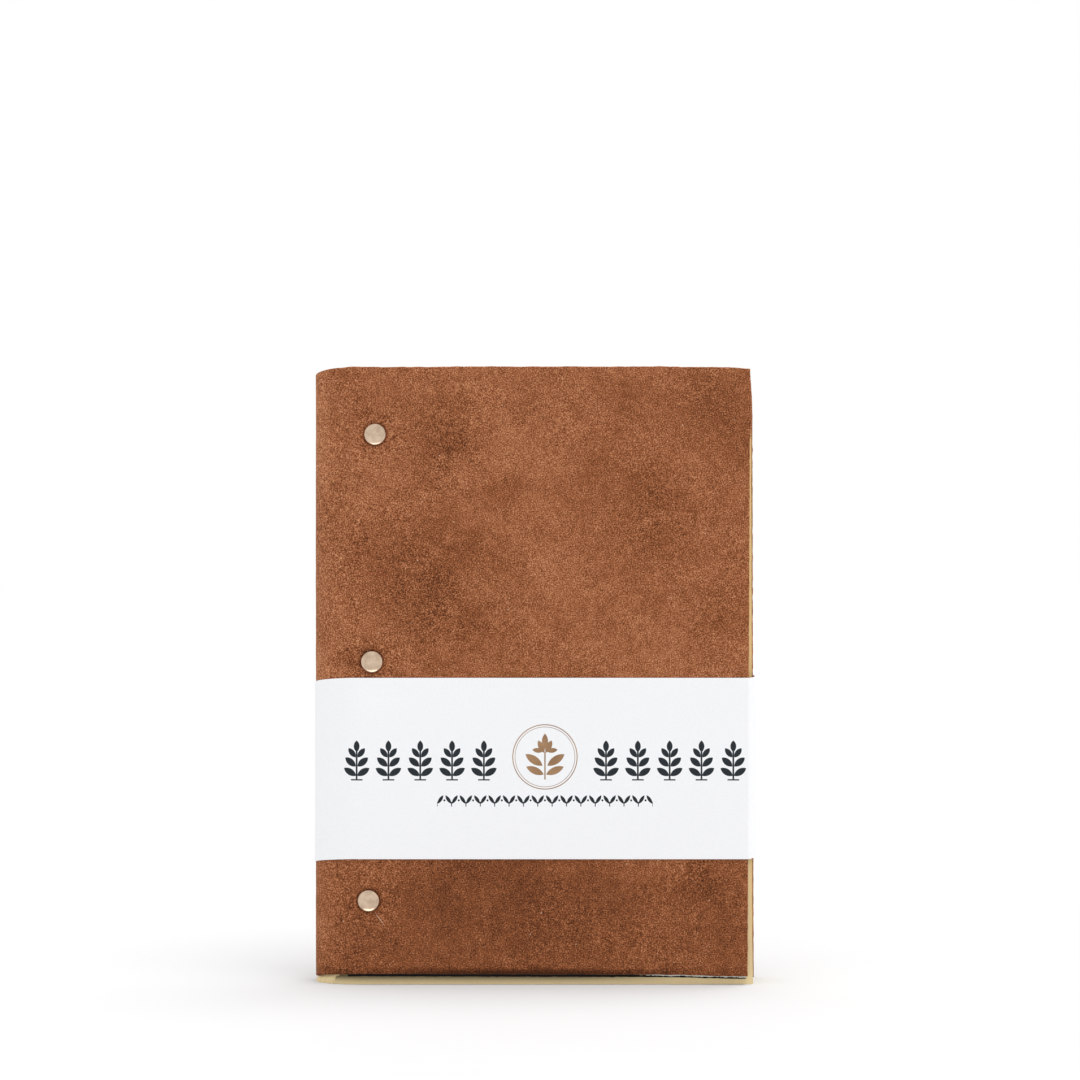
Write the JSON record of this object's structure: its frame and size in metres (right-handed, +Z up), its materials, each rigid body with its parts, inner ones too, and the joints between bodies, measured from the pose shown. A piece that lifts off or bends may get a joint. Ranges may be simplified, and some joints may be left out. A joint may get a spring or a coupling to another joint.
{
  "type": "pocket notebook",
  "caption": "Suede-covered journal with a rounded spine, domed rivets through the bound margin, folded signatures of cream leaves and a sliding paper belly band.",
  "frame": {"origin": "middle of the footprint of the closed journal, on the surface it stands on", "axes": "+Z up the spine, front cover towards -Y, spine towards -X"},
  "size_m": [0.1308, 0.0186, 0.181],
  "materials": {
    "suede": "brown suede with a short matt nap and raw cut edges",
    "lining": "plain cream paper glued to the back of the suede",
    "page_paper": "cream uncoated paper with hand-trimmed edges",
    "rivet_metal": "pale brushed brass with a soft shine",
    "band_paper": "smooth white printed paper"
  },
  "bodies": {
    "root": {"cover_spine": "suede", "signature_01_fold": "page_paper", "signature_02_fold": "page_paper", "signature_03_fold": "page_paper", "signature_04_fold": "page_paper", "signature_05_fold": "page_paper", "signature_06_fold": "page_paper", "signature_07_fold": "page_paper", "signature_08_fold": "page_paper", "signature_09_fold": "page_paper", "signature_10_fold": "page_paper", "leaves_10": "page_paper", "leaves_11": "page_paper", "rivet_bottom_cap": "rivet_metal", "rivet_middle_cap": "rivet_metal", "rivet_top_cap": "rivet_metal", "rivet_bottom_socket": "rivet_metal", "rivet_middle_socket": "rivet_metal", "rivet_top_socket": "rivet_metal"},
    "front_cover": {"cover_front": "suede", "lining_front": "lining"},
    "back_cover": {"cover_back": "suede", "lining_back": "lining"},
    "band": {"belly_band": "band_paper"},
    "leaves_01": {"leaves_01": "page_paper"},
    "leaves_02": {"leaves_02": "page_paper"},
    "leaves_03": {"leaves_03": "page_paper"},
    "leaves_04": {"leaves_04": "page_paper"},
    "leaves_05": {"leaves_05": "page_paper"},
    "leaves_06": {"leaves_06": "page_paper"},
    "leaves_07": {"leaves_07": "page_paper"},
    "leaves_08": {"leaves_08": "page_paper"},
    "leaves_09": {"leaves_09": "page_paper"},
    "leaves_20": {"leaves_20": "page_paper"},
    "leaves_19": {"leaves_19": "page_paper"},
    "leaves_18": {"leaves_18": "page_paper"},
    "leaves_17": {"leaves_17": "page_paper"},
    "leaves_16": {"leaves_16": "page_paper"},
    "leaves_15": {"leaves_15": "page_paper"},
    "leaves_14": {"leaves_14": "page_paper"},
    "leaves_13": {"leaves_13": "page_paper"},
    "leaves_12": {"leaves_12": "page_paper"}
  },
  "joints": [
    {"name": "front_cover_flex", "type": "hinge", "parent": "root", "child": "front_cover", "pos_m": [-0.04105, -0.0095, 0], "axis": [0, 0, -1], "range_deg": [0, 175], "deforming": ["belly_band"]},
    {"name": "back_cover_flex", "type": "hinge", "parent": "root", "child": "back_cover", "pos_m": [-0.04105, 0.0095, 0], "axis": [0, 0, 1], "range_deg": [0, 175], "deforming": ["belly_band"]},
    {"name": "band_slide", "type": "slide", "parent": "root", "child": "band", "axis": [0, 0, 1], "range_m": [-0.008, 0.15]},
    {"name": "leaves_01_turn", "type": "hinge", "parent": "root", "child": "leaves_01", "pos_m": [-0.04105, -0.0095, 0], "axis": [0, 0, -1], "range_deg": [0, 175]},
    {"name": "leaves_02_turn", "type": "hinge", "parent": "root", "child": "leaves_02", "pos_m": [-0.04105, -0.0095, 0], "axis": [0, 0, -1], "range_deg": [0, 175]},
    {"name": "leaves_03_turn", "type": "hinge", "parent": "root", "child": "leaves_03", "pos_m": [-0.04105, -0.0095, 0], "axis": [0, 0, -1], "range_deg": [0, 175]},
    {"name": "leaves_04_turn", "type": "hinge", "parent": "root", "child": "leaves_04", "pos_m": [-0.04105, -0.0095, 0], "axis": [0, 0, -1], "range_deg": [0, 175]},
    {"name": "leaves_05_turn", "type": "hinge", "parent": "root", "child": "leaves_05", "pos_m": [-0.04105, -0.0095, 0], "axis": [0, 0, -1], "range_deg": [0, 175]},
    {"name": "leaves_06_turn", "type": "hinge", "parent": "root", "child": "leaves_06", "pos_m": [-0.04105, -0.0095, 0], "axis": [0, 0, -1], "range_deg": [0, 175]},
    {"name": "leaves_07_turn", "type": "hinge", "parent": "root", "child": "leaves_07", "pos_m": [-0.04105, -0.0095, 0], "axis": [0, 0, -1], "range_deg": [0, 175]},
    {"name": "leaves_08_turn", "type": "hinge", "parent": "root", "child": "leaves_08", "pos_m": [-0.04105, -0.0095, 0], "axis": [0, 0, -1], "range_deg": [0, 175]},
    {"name": "leaves_09_turn", "type": "hinge", "parent": "root", "child": "leaves_09", "pos_m": [-0.04105, -0.0095, 0], "axis": [0, 0, -1], "range_deg": [0, 175]},
    {"name": "leaves_20_turn", "type": "hinge", "parent": "root", "child": "leaves_20", "pos_m": [-0.04105, 0.0095, 0], "axis": [0, 0, 1], "range_deg": [0, 175]},
    {"name": "leaves_19_turn", "type": "hinge", "parent": "root", "child": "leaves_19", "pos_m": [-0.04105, 0.0095, 0], "axis": [0, 0, 1], "range_deg": [0, 175]},
    {"name": "leaves_18_turn", "type": "hinge", "parent": "root", "child": "leaves_18", "pos_m": [-0.04105, 0.0095, 0], "axis": [0, 0, 1], "range_deg": [0, 175]},
    {"name": "leaves_17_turn", "type": "hinge", "parent": "root", "child": "leaves_17", "pos_m": [-0.04105, 0.0095, 0], "axis": [0, 0, 1], "range_deg": [0, 175]},
    {"name": "leaves_16_turn", "type": "hinge", "parent": "root", "child": "leaves_16", "pos_m": [-0.04105, 0.0095, 0], "axis": [0, 0, 1], "range_deg": [0, 175]},
    {"name": "leaves_15_turn", "type": "hinge", "parent": "root", "child": "leaves_15", "pos_m": [-0.04105, 0.0095, 0], "axis": [0, 0, 1], "range_deg": [0, 175]},
    {"name": "leaves_14_turn", "type": "hinge", "parent": "root", "child": "leaves_14", "pos_m": [-0.04105, 0.0095, 0], "axis": [0, 0, 1], "range_deg": [0, 175]},
    {"name": "leaves_13_turn", "type": "hinge", "parent": "root", "child": "leaves_13", "pos_m": [-0.04105, 0.0095, 0], "axis": [0, 0, 1], "range_deg": [0, 175]},
    {"name": "leaves_12_turn", "type": "hinge", "parent": "root", "child": "leaves_12", "pos_m": [-0.04105, 0.0095, 0], "axis": [0, 0, 1], "range_deg": [0, 175]}
  ],
  "couplings": [
    {"joint": "leaves_01_turn", "follows": "front_cover_flex", "ratio": 0.92},
    {"joint": "leaves_02_turn", "follows": "front_cover_flex", "ratio": 0.82},
    {"joint": "leaves_03_turn", "follows": "front_cover_flex", "ratio": 0.72},
    {"joint": "leaves_04_turn", "follows": "front_cover_flex", "ratio": 0.62},
    {"joint": "leaves_05_turn", "follows": "front_cover_flex", "ratio": 0.52},
    {"joint": "leaves_06_turn", "follows": "front_cover_flex", "ratio": 0.42},
    {"joint": "leaves_07_turn", "follows": "front_cover_flex", "ratio": 0.32},
    {"joint": "leaves_08_turn", "follows": "front_cover_flex", "ratio": 0.22},
    {"joint": "leaves_09_turn", "follows": "front_cover_flex", "ratio": 0.12},
    {"joint": "leaves_20_turn", "follows": "back_cover_flex", "ratio": 0.92},
    {"joint": "leaves_19_turn", "follows": "back_cover_flex", "ratio": 0.82},
    {"joint": "leaves_18_turn", "follows": "back_cover_flex", "ratio": 0.72},
    {"joint": "leaves_17_turn", "follows": "back_cover_flex", "ratio": 0.62},
    {"joint": "leaves_16_turn", "follows": "back_cover_flex", "ratio": 0.52},
    {"joint": "leaves_15_turn", "follows": "back_cover_flex", "ratio": 0.42},
    {"joint": "leaves_14_turn", "follows": "back_cover_flex", "ratio": 0.32},
    {"joint": "leaves_13_turn", "follows": "back_cover_flex", "ratio": 0.22},
    {"joint": "leaves_12_turn", "follows": "back_cover_flex", "ratio": 0.12}
  ]
}
